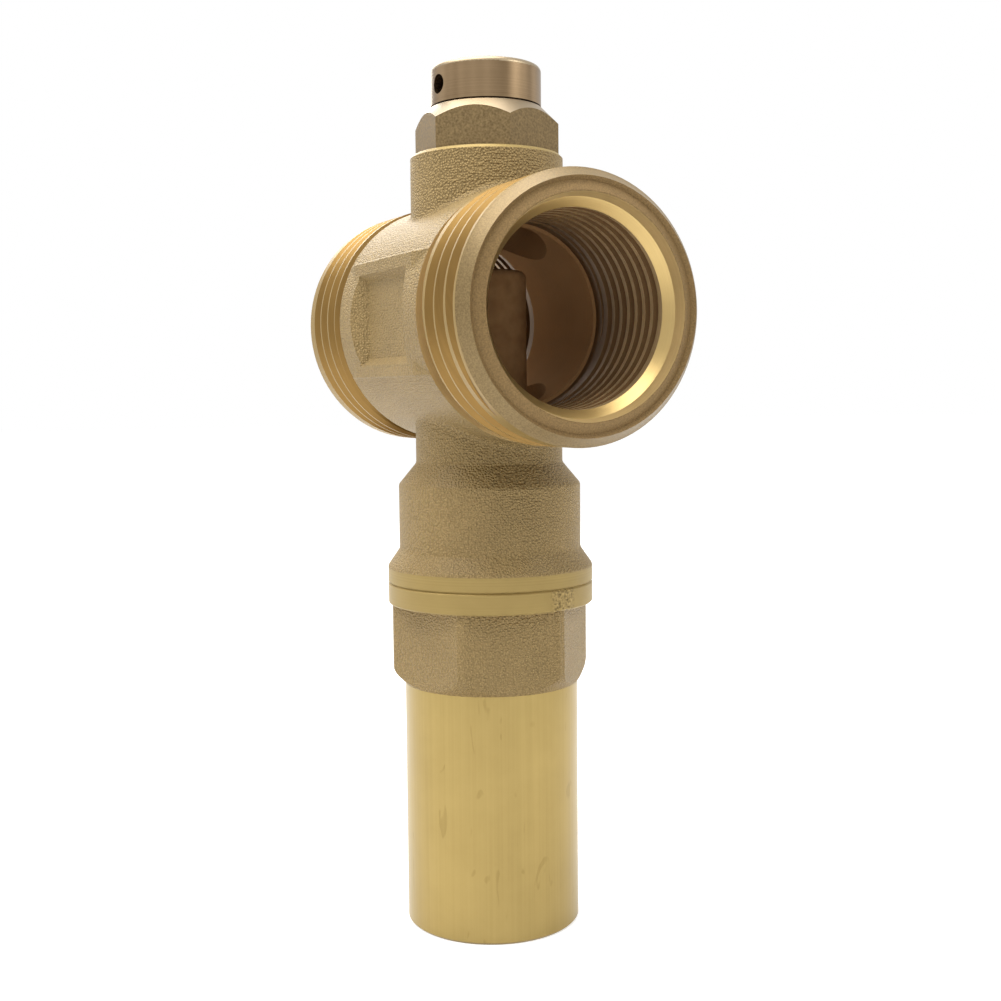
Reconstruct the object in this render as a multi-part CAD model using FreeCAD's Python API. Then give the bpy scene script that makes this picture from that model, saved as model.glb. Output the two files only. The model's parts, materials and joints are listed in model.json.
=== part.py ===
import FreeCAD, Part
import math
import os

from FreeCAD import Vector

# Anti-freeze drain valve, in millimetres. The foot of the drain tube stands on z = 0, the valve axis is Z
# and the pipe runs along X. At rest the water is warm: the wax has pushed the shutter onto its seat and the
# air inlet is shut.

# Fits
SCREWED_GAP = 0.05        # radial room between pieces that are screwed or pressed together
SLIDING_GAP = 0.06        # radial room round a sliding stem
SEAL_GAP = 0.03           # room left between a seal and its seat

# Pipe and its two ports
PIPE_LENGTH = 54.0
CAST_PIPE_D = 32.8
MALE_MAJOR_D = 33.25
MALE_MINOR_D = 30.29
MALE_THREAD_LENGTH = 10.3
RELIEF_WIDTH = 1.5
RELIEF_UNDERCUT = 0.2
LEAD_IN = 0.4
NOSE_LENGTH = 1.4
RIM_D = 27.4
RIM_WIDTH = 0.15
MOUTH_CONE_DEPTH = 1.5
MOUTH_CONE_TAPER = 0.4
MOUTH_STEP = 0.3
FEMALE_MINOR_D = 24.12
FEMALE_LEAD_DEPTH = 0.9
FEMALE_THREAD_LENGTH = 15.9
WATERWAY_D = 23.2         # past the stop shoulder at the thread's end

# Wrench pads on the two sides of the pipe
PAD_ACROSS = 30.8
PAD_FLAT_LENGTH = 19.8
PAD_HEIGHT = 15.6
PAD_END_DROP = 0.8
PAD_EDGE = 0.3
RECESS_LENGTH = 16.4
RECESS_HEIGHT = 12.2
RECESS_DEPTH = 1.0

# Necks, barrel and flange of the body
LOWER_BODY_HEIGHT = 35.5  # from the parting plane to the pipe axis
UPPER_NECK_HEIGHT = 21.7  # from the pipe axis to the neck's top face
UPPER_NECK_D = 20.5
LOWER_NECK_D = 20.0
NECK_FILLET_SHARE = 0.4   # of the room between a neck and the port's shoulder
NECK_FILLET_LIMIT = 0.5   # of the neck's own height, which is the fillet's wall
NECK_TOP_CHAMFER = 0.4
SHOULDER_HEIGHT = 2.9
BARREL_D = 24.8
BARREL_HEIGHT = 8.75
FLARE_HEIGHT = 2.3
FLANGE_D = 28.0
FLANGE_THICKNESS = 2.3
CAST_ROUND = 0.8
PARTING_CHAMFER = 0.2

# Bores of the body
PLUG_BORE_D = 16.0
LOWER_BORE_D = 15.6
BARREL_BORE_D = 20.8
BARREL_BORE_DEPTH = 11.8
GASKET_D = 18.2
GASKET_THICKNESS = 1.0

# Lower housing and drain tube
HOUSING_HEIGHT = 13.8     # from the tube's shoulder to the parting plane
HOUSING_BAND = 2.85
HOUSING_ACROSS_FLATS = 24.0
HOUSING_CORNER_D = 27.2
HOUSING_FOOT_D = 23.8
HOUSING_FOOT_ROUND = 2.0
HOUSING_CORNER_ANGLE = 16.9
HOUSING_SPIGOT_LENGTH = 6.5
HOUSING_BORE_D = 16.8
WEB_TOP_DEPTH = 6.8       # below the parting plane
WEB_THICKNESS = 2.7
SEAT_BORE_D = 6.8
SEAT_LIP_WIDTH = 0.8
SEAT_LIP_HEIGHT = 1.0
O_RING_WIRE_D = 1.0
O_RING_RISE = 1.6         # from the parting plane up to the ring's middle
TUBE_LENGTH = 33.2
TUBE_D = 23.75
TUBE_WALL = 1.3
TUBE_SPIGOT_D = 20.4
TUBE_SPIGOT_LENGTH = 4.1
TUBE_SPIGOT_WALL = 1.3
TUBE_SHOULDER = 3.0
TUBE_EDGE = 0.3

# Wax capsule, its carrier and the overtravel spring
CAPSULE_D = 10.4
CAPSULE_TOP_HEIGHT = 6.5  # above the pipe axis
CAPSULE_COLLAR_D = 12.0
CAPSULE_COLLAR_HEIGHT = 2.2
CAPSULE_ROUND = 1.0
CARRIER_RING_WALL = 1.75
CARRIER_HUB_D = 10.8
CARRIER_HUB_DROP = 1.8    # from the carrier's top face to the hub
CARRIER_HUB_THICKNESS = 2.0
CARRIER_ARM_WIDTH = 2.4
CARRIER_ARMS = 3
GUIDE_D = 6.0
GUIDE_STOP_GAP = 1.0      # left between the guide and the fully lifted shutter
GUIDE_HEAD_D = 8.8
GUIDE_HEAD_HEIGHT = 1.4
PISTON_D = 2.5
PISTON_BORE_SPARE = 2.0   # room over the fully lifted piston
OVERTRAVEL_SPRING_D = 12.8
OVERTRAVEL_WIRE_D = 1.0
OVERTRAVEL_LENGTH = 6.8
OVERTRAVEL_TURNS = 3.5
CLIP_THICKNESS = 1.0
CLIP_BITE = 0.6
CLIP_WIDTH = 2.2
CLIP_GAP_ANGLE = 40.0

# Shutter and its return spring
SHUTTER_LIFT = 3.0
SHUTTER_FLANGE_D = 13.6
SHUTTER_FLANGE_THICKNESS = 1.5
SHUTTER_STEM_D = 5.2
SHUTTER_FOOT_D = 9.2
SHUTTER_FOOT_HEIGHT = 1.1
SHUTTER_SEAL_D = 9.0
SHUTTER_SEAL_THICKNESS = 1.0
SHUTTER_HEIGHT = 6.8      # from under the foot to the top of the flange
PISTON_SOCKET_DEPTH = 2.4
SCREW_HEAD_D = 5.2
SCREW_HEAD_HEIGHT = 1.3
SCREW_SHANK_D = 2.4
SCREW_SHANK_LENGTH = 4.3
SCREW_SLOT_WIDTH = 0.7
SCREW_SLOT_DEPTH = 0.6
RETURN_SPRING_D = 12.0
RETURN_WIRE_D = 1.1
RETURN_TURNS = 4.0

# Vacuum breaker
PLUG_ACROSS_FLATS = 17.0
PLUG_CORNER_ANGLE = -7.9
PLUG_HEX_HEIGHT = 6.25
PLUG_CROWN_HEIGHT = 2.3
PLUG_CROWN_D = 15.0
PLUG_SPIGOT_LENGTH = 8.0
PLUG_COLLAR_D = 12.0
PLUG_COLLAR_HEIGHT = 1.7
PLUG_CHAMBER_D = 13.2
PLUG_TOP_BORE_D = 9.2
SEAT_WEB_DROP = 1.0       # from the neck's top face down to the web
SEAT_WEB_THICKNESS = 2.0
AIR_BORE_D = 10.0
SPIDER_HUB_D = 6.8
SPIDER_ARM_WIDTH = 1.4
SPIDER_ARMS = 3
SPIDER_ROOT = 0.05        # how far the arms run into the wall round them
POPPET_D = 11.6
POPPET_THICKNESS = 1.8
POPPET_STEM_D = 2.4
POPPET_SEAL_WIDTH = 1.1
POPPET_SEAL_THICKNESS = 0.8
BREAKER_SPRING_D = 5.8
BREAKER_WIRE_D = 0.6
BREAKER_SPRING_LENGTH = 5.1
BREAKER_TURNS = 4.5
SPRING_PLATE_D = 6.8
SPRING_PLATE_THICKNESS = 0.8
STEM_CLIP_D = 4.8
STEM_CLIP_THICKNESS = 0.6
STEM_CLIP_BITE = 0.35
STEM_TIP = 0.6
CAP_D = 14.8
CAP_LIFT = 0.25           # dark line between the crown and the cap
CAP_HEIGHT = 5.2
CAP_ROUND = 0.7
CAP_WALL = 1.6
AIR_HOLE_D = 2.5
AIR_HOLE_RISE = 0.9       # from the plug's collar up to the middle of the hole
AIR_HOLE_ANGLE = -84.0    # where the hole opens, in degrees from +X

# Levels along the valve axis
PARTING_Z = TUBE_LENGTH + HOUSING_HEIGHT
PIPE_AXIS_Z = PARTING_Z + LOWER_BODY_HEIGHT
NECK_TOP_Z = PIPE_AXIS_Z + UPPER_NECK_HEIGHT
BARREL_STEP_Z = PARTING_Z + BARREL_BORE_DEPTH
SPIGOT_TOP_Z = PARTING_Z + HOUSING_SPIGOT_LENGTH
WEB_TOP_Z = PARTING_Z - WEB_TOP_DEPTH
SEAT_Z = WEB_TOP_Z + SEAT_LIP_HEIGHT
SHUTTER_FOOT_Z = SEAT_Z + SEAL_GAP + SHUTTER_SEAL_THICKNESS
SHUTTER_TOP_Z = SHUTTER_FOOT_Z + SHUTTER_HEIGHT
HUB_TOP_Z = BARREL_STEP_Z - CARRIER_HUB_DROP
GUIDE_FOOT_Z = SHUTTER_TOP_Z + SHUTTER_LIFT + GUIDE_STOP_GAP
COLLAR_TOP_Z = HUB_TOP_Z + CAPSULE_COLLAR_HEIGHT
CLIP_Z = COLLAR_TOP_Z + OVERTRAVEL_LENGTH
AIR_WEB_TOP_Z = NECK_TOP_Z - SEAT_WEB_DROP
AIR_SEAT_Z = AIR_WEB_TOP_Z - SEAT_WEB_THICKNESS
POPPET_TOP_Z = AIR_SEAT_Z - SEAL_GAP - POPPET_SEAL_THICKNESS
SPRING_PLATE_Z = AIR_WEB_TOP_Z + BREAKER_SPRING_LENGTH
CROWN_TOP_Z = NECK_TOP_Z + PLUG_HEX_HEIGHT
PLUG_COLLAR_TOP_Z = CROWN_TOP_Z + PLUG_COLLAR_HEIGHT

X_AXIS = Vector(1, 0, 0)
Y_AXIS = Vector(0, 1, 0)
Z_AXIS = Vector(0, 0, 1)
PIPE_CENTRE = Vector(0, 0, PIPE_AXIS_Z)
FULL_TURN = 360.0
HEX_SIDES = 6
WIRE_SIDES = 8
SEAM_TOLERANCE = 0.03
SEAM_SAMPLES = 6


def corner_arc(before, corner, after, radius):
    """Points where an arc of this radius starts, bends and ends between two straight runs of an outline."""
    to_before = (before - corner).normalize()
    to_after = (after - corner).normalize()
    half_angle = to_before.getAngle(to_after) / 2
    reach = radius / math.tan(half_angle)
    inward = (to_before + to_after).normalize()
    middle = corner + inward * (radius / math.sin(half_angle) - radius)
    return corner + to_before * reach, middle, corner + to_after * reach


def outline(points):
    """Closed face from (radius, height) points; a third number rounds that corner with an arc."""
    places = [Vector(point[0], 0, point[1]) for point in points]
    starts, ends, arcs = [], [], []
    for index, point in enumerate(points):
        corner = places[index]
        if len(point) == 2:
            starts.append(corner)
            ends.append(corner)
            continue
        after = places[(index + 1) % len(points)]
        start, middle, end = corner_arc(places[index - 1], corner, after, point[2])
        arcs.append(Part.Arc(start, middle, end).toShape())
        starts.append(start)
        ends.append(end)
    runs = [Part.LineSegment(ends[i - 1], starts[i]).toShape() for i in range(len(points))]
    return Part.Face(Part.Wire(Part.__sortEdges__(runs + arcs)))


def turned(points):
    """Solid of revolution about the valve axis."""
    return outline(points).revolve(Vector(0, 0, 0), Z_AXIS, FULL_TURN)


def turned_on_pipe(points):
    """Solid of revolution about the pipe axis from (radius, distance along the pipe) points."""
    solid = turned(points)
    solid.rotate(Vector(0, 0, 0), Y_AXIS, FULL_TURN / 4)
    solid.translate(PIPE_CENTRE)
    return solid


def disc(diameter, bottom, top):
    return Part.makeCylinder(diameter / 2, top - bottom, Vector(0, 0, bottom))


def ring(outer_d, inner_d, bottom, top):
    return disc(outer_d, bottom, top).cut(disc(inner_d, bottom, top))


def hexagon(across_flats, corner_angle, bottom, top):
    """Hexagon bar on the valve axis; corner_angle is where one corner points, in degrees from +X."""
    reach = across_flats / 2 / math.cos(math.pi / HEX_SIDES)
    turns = [math.radians(corner_angle + FULL_TURN / HEX_SIDES * side) for side in range(HEX_SIDES + 1)]
    corners = [Vector(reach * math.cos(turn), reach * math.sin(turn), bottom) for turn in turns]
    return Part.Face(Part.makePolygon(corners)).extrude(Vector(0, 0, top - bottom))


def spider(hub_d, rim_d, arm_width, arms, bottom, top):
    """Hub joined to a rim by straight arms."""
    shape = disc(hub_d, bottom, top)
    for arm in range(arms):
        bar = Part.makeBox(rim_d / 2, arm_width, top - bottom, Vector(0, -arm_width / 2, bottom))
        bar.rotate(Vector(0, 0, 0), Z_AXIS, FULL_TURN / arms * arm)
        shape = shape.fuse(bar)
    return shape.common(disc(rim_d, bottom, top))


def wire_section(mean_d, wire_d, height):
    """Corners of a wire's section as (radius, height) points, with flats standing in for the round."""
    turns = [FULL_TURN / WIRE_SIDES * (side + 1 / 2) for side in range(WIRE_SIDES)]
    reach = wire_d / 2 / math.cos(math.pi / WIRE_SIDES)
    return [(mean_d / 2 + reach * math.cos(math.radians(turn)), height + reach * math.sin(math.radians(turn)))
            for turn in turns]


def coil_spring(mean_d, wire_d, bottom, top, turns):
    """Spring wound from bottom to top, both taken at the outside of the wire."""
    height = top - bottom - wire_d
    path = Part.makeHelix(height / turns, height, mean_d / 2)
    sweep = Part.BRepOffsetAPI.MakePipeShell(path)
    sweep.setFrenetMode(True)
    sweep.add(outline(wire_section(mean_d, wire_d, 0)).OuterWire)
    sweep.build()
    sweep.makeSolid()
    spring = sweep.shape()
    spring.translate(Vector(0, 0, bottom + wire_d / 2))
    return spring


def split_ring(outer_d, inner_d, bottom, top):
    """Flat ring with a gap towards +X, as a retaining clip has."""
    half_gap = math.tan(math.radians(CLIP_GAP_ANGLE / 2)) * outer_d / 2
    middle = Vector(0, 0, bottom)
    sides = [Vector(outer_d, side * half_gap, bottom) for side in (-2, 2)]
    wedge = Part.Face(Part.makePolygon([middle] + sides + [middle])).extrude(Vector(0, 0, top - bottom))
    return ring(outer_d, inner_d, bottom, top).cut(wedge)


def port_profile():
    """Outside of one half of the pipe, from its middle to the rim, as (radius, distance) points."""
    end = PIPE_LENGTH / 2
    crest = MALE_MAJOR_D / 2
    root = MALE_MINOR_D / 2 - RELIEF_UNDERCUT
    thread_end = end - NOSE_LENGTH - LEAD_IN
    thread_start = thread_end - MALE_THREAD_LENGTH
    shoulder = thread_start - RELIEF_WIDTH
    return [(CAST_PIPE_D / 2, shoulder), (root, shoulder), (root, thread_start - (crest - root) / 2),
            (crest, thread_start), (crest, thread_end), (crest - LEAD_IN, thread_end + LEAD_IN),
            (RIM_D / 2, end)]


def mouth_profile():
    """Inside of one half of the pipe, from its middle to the rim, as (radius, distance) points."""
    end = PIPE_LENGTH / 2
    rim = RIM_D / 2 - RIM_WIDTH
    cone = rim - MOUTH_CONE_TAPER
    cone_start = end - MOUTH_CONE_DEPTH
    thread_start = cone_start - MOUTH_STEP - FEMALE_LEAD_DEPTH
    stop = thread_start - FEMALE_THREAD_LENGTH
    bore = FEMALE_MINOR_D / 2
    return [(WATERWAY_D / 2, stop), (bore, stop), (bore, thread_start),
            (cone - MOUTH_STEP, cone_start - MOUTH_STEP), (cone, cone_start), (rim, end)]


def both_halves(half):
    """Closed profile of a full-length solid on the pipe from the points of one half."""
    mirrored = [(radius, -distance) for radius, distance in reversed(half)]
    reach = half[-1][1]
    return [(0, -reach)] + mirrored + half + [(0, reach)]


def pipe_shoulder():
    return port_profile()[0][1]


def wrench_pads():
    """Bar through the pipe whose two sides are the wrench flats, with falling ends and rounded edges."""
    half_flat = PAD_FLAT_LENGTH / 2
    face = PAD_ACROSS / 2
    low = face - PAD_END_DROP
    side = [(-pipe_shoulder(), -low), (-half_flat, -face), (half_flat, -face), (pipe_shoulder(), -low)]
    plan = side + [(-x, -y) for x, y in side]
    bottom = PIPE_AXIS_Z - PAD_HEIGHT / 2
    wire = Part.makePolygon([Vector(x, y, bottom) for x, y in plan + plan[:1]])
    pads = Part.Face(wire).extrude(Vector(0, 0, PAD_HEIGHT))
    return pads.makeFillet(PAD_EDGE, [edge for edge in pads.Edges if abs(edge.CenterOfMass.y) > low])


def beside_pads():
    """Room in front of both flats, where the round of the cast pipe is taken away."""
    reach = pipe_shoulder()
    corner = Vector(-reach, -CAST_PIPE_D, PIPE_AXIS_Z - PAD_HEIGHT / 2)
    return Part.makeBox(2 * reach, 2 * CAST_PIPE_D, PAD_HEIGHT, corner).cut(wrench_pads())


def pad_trays():
    """Shallow trays with walls at 45 degrees, one in each flat."""
    wires = []
    for inset in (-RECESS_DEPTH, RECESS_DEPTH):
        half_length = RECESS_LENGTH / 2 - inset
        half_height = RECESS_HEIGHT / 2 - inset
        corners = [(-half_length, -half_height), (half_length, -half_height),
                   (half_length, half_height), (-half_length, half_height)]
        level = inset - PAD_ACROSS / 2
        wires.append(Part.makePolygon([Vector(x, level, PIPE_AXIS_Z + z) for x, z in corners + corners[:1]]))
    front = Part.makeLoft(wires, True)
    back = front.copy()
    back.rotate(PIPE_CENTRE, Z_AXIS, FULL_TURN / 2)
    return [front, back]


def neck_seams(shape, neck_d):
    """Edges where a neck runs into the cast pipe."""
    def on_both(point):
        off_neck = abs(math.hypot(point.x, point.y) - neck_d / 2)
        off_pipe = abs(math.hypot(point.y, point.z - PIPE_AXIS_Z) - CAST_PIPE_D / 2)
        return max(off_neck, off_pipe) < SEAM_TOLERANCE
    return [edge for edge in shape.Edges if all(on_both(point) for point in edge.discretize(SEAM_SAMPLES))]


def body_casting():
    """Outside of the body without its ports: necks, barrel and flange on the cast pipe."""
    flange_top = PARTING_Z + FLANGE_THICKNESS
    barrel_foot = flange_top + FLARE_HEIGHT
    shoulder = barrel_foot + BARREL_HEIGHT
    lower = turned([(0, PARTING_Z), (FLANGE_D / 2 - PARTING_CHAMFER, PARTING_Z),
                    (FLANGE_D / 2, PARTING_Z + PARTING_CHAMFER), (FLANGE_D / 2, flange_top, CAST_ROUND),
                    (BARREL_D / 2, barrel_foot, CAST_ROUND), (BARREL_D / 2, shoulder, CAST_ROUND),
                    (LOWER_NECK_D / 2, shoulder + SHOULDER_HEIGHT, CAST_ROUND),
                    (LOWER_NECK_D / 2, PIPE_AXIS_Z), (0, PIPE_AXIS_Z)])
    upper = turned([(0, PIPE_AXIS_Z), (UPPER_NECK_D / 2, PIPE_AXIS_Z),
                    (UPPER_NECK_D / 2, NECK_TOP_Z - NECK_TOP_CHAMFER),
                    (UPPER_NECK_D / 2 - NECK_TOP_CHAMFER, NECK_TOP_Z), (0, NECK_TOP_Z)])
    reach = pipe_shoulder()
    pipe = turned_on_pipe([(0, -reach), (CAST_PIPE_D / 2, -reach), (CAST_PIPE_D / 2, reach), (0, reach)])
    casting = pipe.fuse([lower, upper]).removeSplitter()
    upper_height = UPPER_NECK_HEIGHT - NECK_TOP_CHAMFER - CAST_PIPE_D / 2
    lower_height = PIPE_AXIS_Z - CAST_PIPE_D / 2 - shoulder - SHOULDER_HEIGHT
    for neck_d, neck_height in ((UPPER_NECK_D, upper_height), (LOWER_NECK_D, lower_height)):
        radius = min(NECK_FILLET_SHARE * (reach - neck_d / 2), NECK_FILLET_LIMIT * neck_height)
        casting = casting.makeFillet(radius, neck_seams(casting, neck_d))
    return casting


def valve_body():
    casting = body_casting().cut(beside_pads())
    body = casting.fuse([turned_on_pipe(both_halves(port_profile())), wrench_pads()])
    clip_groove_d = LOWER_BORE_D + 2 * CLIP_BITE
    bores = [turned_on_pipe(both_halves(mouth_profile())),
             disc(PLUG_BORE_D, PIPE_AXIS_Z, NECK_TOP_Z),
             disc(GASKET_D, NECK_TOP_Z - GASKET_THICKNESS, NECK_TOP_Z),
             disc(LOWER_BORE_D, PARTING_Z, PIPE_AXIS_Z),
             disc(BARREL_BORE_D, PARTING_Z, BARREL_STEP_Z),
             disc(clip_groove_d, CLIP_Z, CLIP_Z + CLIP_THICKNESS)]
    return body.cut(bores + pad_trays()).removeSplitter()


def lower_housing():
    """Hexagon with a turned foot, a flange band, a spigot that screws into the barrel and the drain seat."""
    band_z = PARTING_Z - HOUSING_BAND
    corner = HOUSING_CORNER_D / 2
    foot = turned([(0, TUBE_LENGTH), (HOUSING_FOOT_D / 2, TUBE_LENGTH),
                   (corner, TUBE_LENGTH + (corner - HOUSING_FOOT_D / 2), HOUSING_FOOT_ROUND),
                   (corner, band_z), (0, band_z)])
    nut = foot.common(hexagon(HOUSING_ACROSS_FLATS, HOUSING_CORNER_ANGLE, TUBE_LENGTH, band_z))
    spigot = BARREL_BORE_D / 2 - SCREWED_GAP
    groove = spigot - O_RING_WIRE_D
    groove_z = PARTING_Z + O_RING_RISE - O_RING_WIRE_D
    lip = SEAT_BORE_D / 2 + SEAT_LIP_WIDTH
    top = turned([(0, band_z), (FLANGE_D / 2 - PARTING_CHAMFER, band_z),
                  (FLANGE_D / 2, band_z + PARTING_CHAMFER), (FLANGE_D / 2, PARTING_Z - PARTING_CHAMFER),
                  (FLANGE_D / 2 - PARTING_CHAMFER, PARTING_Z),
                  (spigot, PARTING_Z), (spigot, groove_z), (groove, groove_z),
                  (groove, groove_z + 2 * O_RING_WIRE_D), (spigot, groove_z + 2 * O_RING_WIRE_D),
                  (spigot, SPIGOT_TOP_Z), (0, SPIGOT_TOP_Z)])
    chamber = turned([(lip, WEB_TOP_Z), (HOUSING_BORE_D / 2, WEB_TOP_Z), (HOUSING_BORE_D / 2, SPIGOT_TOP_Z),
                      (0, SPIGOT_TOP_Z), (0, SEAT_Z), (lip, SEAT_Z)])
    drain = disc(SEAT_BORE_D, TUBE_LENGTH, SEAT_Z)
    socket = disc(TUBE_SPIGOT_D + 2 * SCREWED_GAP, TUBE_LENGTH, WEB_TOP_Z - WEB_THICKNESS)
    return nut.fuse(top).cut([chamber, drain, socket]).removeSplitter()


def drain_tube():
    """Plain outlet tube with a shoulder and a spigot that screws into the housing."""
    bore = TUBE_D / 2 - TUBE_WALL
    spigot = TUBE_SPIGOT_D / 2
    spigot_bore = spigot - TUBE_SPIGOT_WALL
    spigot_top = TUBE_LENGTH + TUBE_SPIGOT_LENGTH
    throat = TUBE_LENGTH - TUBE_SHOULDER
    return turned([(bore, 0), (TUBE_D / 2 - TUBE_EDGE, 0), (TUBE_D / 2, TUBE_EDGE), (TUBE_D / 2, TUBE_LENGTH),
                   (spigot, TUBE_LENGTH), (spigot, spigot_top), (spigot_bore, spigot_top),
                   (spigot_bore, throat), (bore, throat - (bore - spigot_bore))])


def housing_o_ring():
    middle_d = BARREL_BORE_D - 2 * SCREWED_GAP - O_RING_WIRE_D
    return turned(wire_section(middle_d, O_RING_WIRE_D - 2 * SEAL_GAP, PARTING_Z + O_RING_RISE))


def capsule_carrier():
    """Ring clamped between the barrel's step and the housing's spigot, with a spider for the capsule."""
    outer = BARREL_BORE_D - 2 * SCREWED_GAP
    rim = ring(outer, outer - 2 * CARRIER_RING_WALL, SPIGOT_TOP_Z, BARREL_STEP_Z)
    hub_bottom = HUB_TOP_Z - CARRIER_HUB_THICKNESS
    arms = spider(CARRIER_HUB_D, outer, CARRIER_ARM_WIDTH, CARRIER_ARMS, hub_bottom, HUB_TOP_Z)
    return rim.fuse(arms).cut(disc(GUIDE_D + 2 * SLIDING_GAP, hub_bottom, HUB_TOP_Z)).removeSplitter()


def capsule_guide():
    """Turned guide of the piston, with a head that is crimped into the capsule."""
    guide = disc(GUIDE_D, GUIDE_FOOT_Z, HUB_TOP_Z)
    head = disc(GUIDE_HEAD_D, HUB_TOP_Z, HUB_TOP_Z + GUIDE_HEAD_HEIGHT)
    bore = disc(PISTON_D + 2 * SLIDING_GAP, GUIDE_FOOT_Z, HUB_TOP_Z + GUIDE_HEAD_HEIGHT)
    return guide.fuse(head).cut(bore).removeSplitter()


def wax_capsule():
    """Sealed wax capsule: a deep cup on a crimped collar, with the bore that the piston works in."""
    top = PIPE_AXIS_Z + CAPSULE_TOP_HEIGHT
    cup = turned([(0, HUB_TOP_Z), (CAPSULE_COLLAR_D / 2, HUB_TOP_Z), (CAPSULE_COLLAR_D / 2, COLLAR_TOP_Z),
                  (CAPSULE_D / 2, COLLAR_TOP_Z), (CAPSULE_D / 2, top, CAPSULE_ROUND), (0, top)])
    head_top = HUB_TOP_Z + GUIDE_HEAD_HEIGHT
    pocket = disc(GUIDE_HEAD_D + 2 * SCREWED_GAP, HUB_TOP_Z, head_top)
    bore_top = head_top + SHUTTER_LIFT + PISTON_BORE_SPARE
    return cup.cut([pocket, disc(PISTON_D + 2 * SLIDING_GAP, HUB_TOP_Z, bore_top)])


def piston_rod():
    return disc(PISTON_D, SHUTTER_TOP_Z - PISTON_SOCKET_DEPTH, HUB_TOP_Z + GUIDE_HEAD_HEIGHT)


def shutter():
    """Turned closing piece: spring flange, stem and foot, bored for the piston above and the screw below."""
    flange_z = SHUTTER_TOP_Z - SHUTTER_FLANGE_THICKNESS
    foot_top = SHUTTER_FOOT_Z + SHUTTER_FOOT_HEIGHT
    blank = turned([(0, SHUTTER_FOOT_Z), (SHUTTER_FOOT_D / 2, SHUTTER_FOOT_Z), (SHUTTER_FOOT_D / 2, foot_top),
                    (SHUTTER_STEM_D / 2, foot_top), (SHUTTER_STEM_D / 2, flange_z),
                    (SHUTTER_FLANGE_D / 2, flange_z), (SHUTTER_FLANGE_D / 2, SHUTTER_TOP_Z),
                    (0, SHUTTER_TOP_Z)])
    socket = disc(PISTON_D + 2 * SCREWED_GAP, SHUTTER_TOP_Z - PISTON_SOCKET_DEPTH, SHUTTER_TOP_Z)
    screw_top = SHUTTER_FOOT_Z - SHUTTER_SEAL_THICKNESS + SCREW_SHANK_LENGTH
    return blank.cut([socket, disc(SCREW_SHANK_D + 2 * SCREWED_GAP, SHUTTER_FOOT_Z, screw_top)])


def shutter_seal():
    bottom = SHUTTER_FOOT_Z - SHUTTER_SEAL_THICKNESS
    return ring(SHUTTER_SEAL_D, SCREW_SHANK_D + 2 * SCREWED_GAP, bottom, SHUTTER_FOOT_Z)


def seal_screw():
    """Slotted screw that clamps the seal under the shutter."""
    under_seal = SHUTTER_FOOT_Z - SHUTTER_SEAL_THICKNESS
    head_z = under_seal - SCREW_HEAD_HEIGHT
    shank = disc(SCREW_SHANK_D, under_seal, under_seal + SCREW_SHANK_LENGTH)
    screw = disc(SCREW_HEAD_D, head_z, under_seal).fuse(shank)
    slot = Part.makeBox(SCREW_HEAD_D, SCREW_SLOT_WIDTH, SCREW_SLOT_DEPTH,
                        Vector(-SCREW_HEAD_D / 2, -SCREW_SLOT_WIDTH / 2, head_z))
    return screw.cut(slot).removeSplitter()


def breaker_plug():
    """Hexagon plug with a crowned top, a screwed spigot, a spider for the stem and a collar for the cap."""
    corner_d = PLUG_ACROSS_FLATS / math.cos(math.pi / HEX_SIDES)
    crown_foot = CROWN_TOP_Z - PLUG_CROWN_HEIGHT
    crown = turned([(0, NECK_TOP_Z), (corner_d / 2, NECK_TOP_Z), (corner_d / 2, crown_foot),
                    (PLUG_CROWN_D / 2, CROWN_TOP_Z), (0, CROWN_TOP_Z)])
    nut = crown.common(hexagon(PLUG_ACROSS_FLATS, PLUG_CORNER_ANGLE, NECK_TOP_Z, CROWN_TOP_Z))
    spigot_foot = NECK_TOP_Z - PLUG_SPIGOT_LENGTH
    blank = nut.fuse([disc(PLUG_BORE_D - 2 * SCREWED_GAP, spigot_foot, NECK_TOP_Z),
                      disc(PLUG_COLLAR_D, CROWN_TOP_Z, PLUG_COLLAR_TOP_Z)])
    hollow = blank.cut([disc(PLUG_CHAMBER_D, spigot_foot, AIR_SEAT_Z),
                        disc(AIR_BORE_D, AIR_SEAT_Z, AIR_WEB_TOP_Z),
                        disc(PLUG_TOP_BORE_D, AIR_WEB_TOP_Z, PLUG_COLLAR_TOP_Z)])
    arm_reach_d = AIR_BORE_D + 2 * SPIDER_ROOT
    guide = spider(SPIDER_HUB_D, arm_reach_d, SPIDER_ARM_WIDTH, SPIDER_ARMS, AIR_SEAT_Z, AIR_WEB_TOP_Z)
    stem_bore = disc(POPPET_STEM_D + 2 * SLIDING_GAP, AIR_SEAT_Z, AIR_WEB_TOP_Z)
    return hollow.fuse(guide).cut(stem_bore).removeSplitter()


def breaker_cap():
    """Turned cap seated on the plug's collar, with an air hole drilled across it."""
    bottom = CROWN_TOP_Z + CAP_LIFT
    top = bottom + CAP_HEIGHT
    cap = turned([(0, bottom), (CAP_D / 2, bottom), (CAP_D / 2, top, CAP_ROUND), (0, top)])
    socket = disc(PLUG_COLLAR_D + 2 * SCREWED_GAP, bottom, PLUG_COLLAR_TOP_Z)
    hollow = disc(PLUG_TOP_BORE_D, PLUG_COLLAR_TOP_Z, top - CAP_WALL)
    hole_start = Vector(-CAP_D / 2, 0, PLUG_COLLAR_TOP_Z + AIR_HOLE_RISE)
    hole = Part.makeCylinder(AIR_HOLE_D / 2, CAP_D, hole_start, X_AXIS)
    hole.rotate(Vector(0, 0, 0), Z_AXIS, AIR_HOLE_ANGLE)
    return cap.cut([socket, hollow, hole])


def breaker_gasket():
    outer = GASKET_D - 2 * SCREWED_GAP
    return ring(outer, PLUG_BORE_D, NECK_TOP_Z - GASKET_THICKNESS, NECK_TOP_Z)


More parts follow.
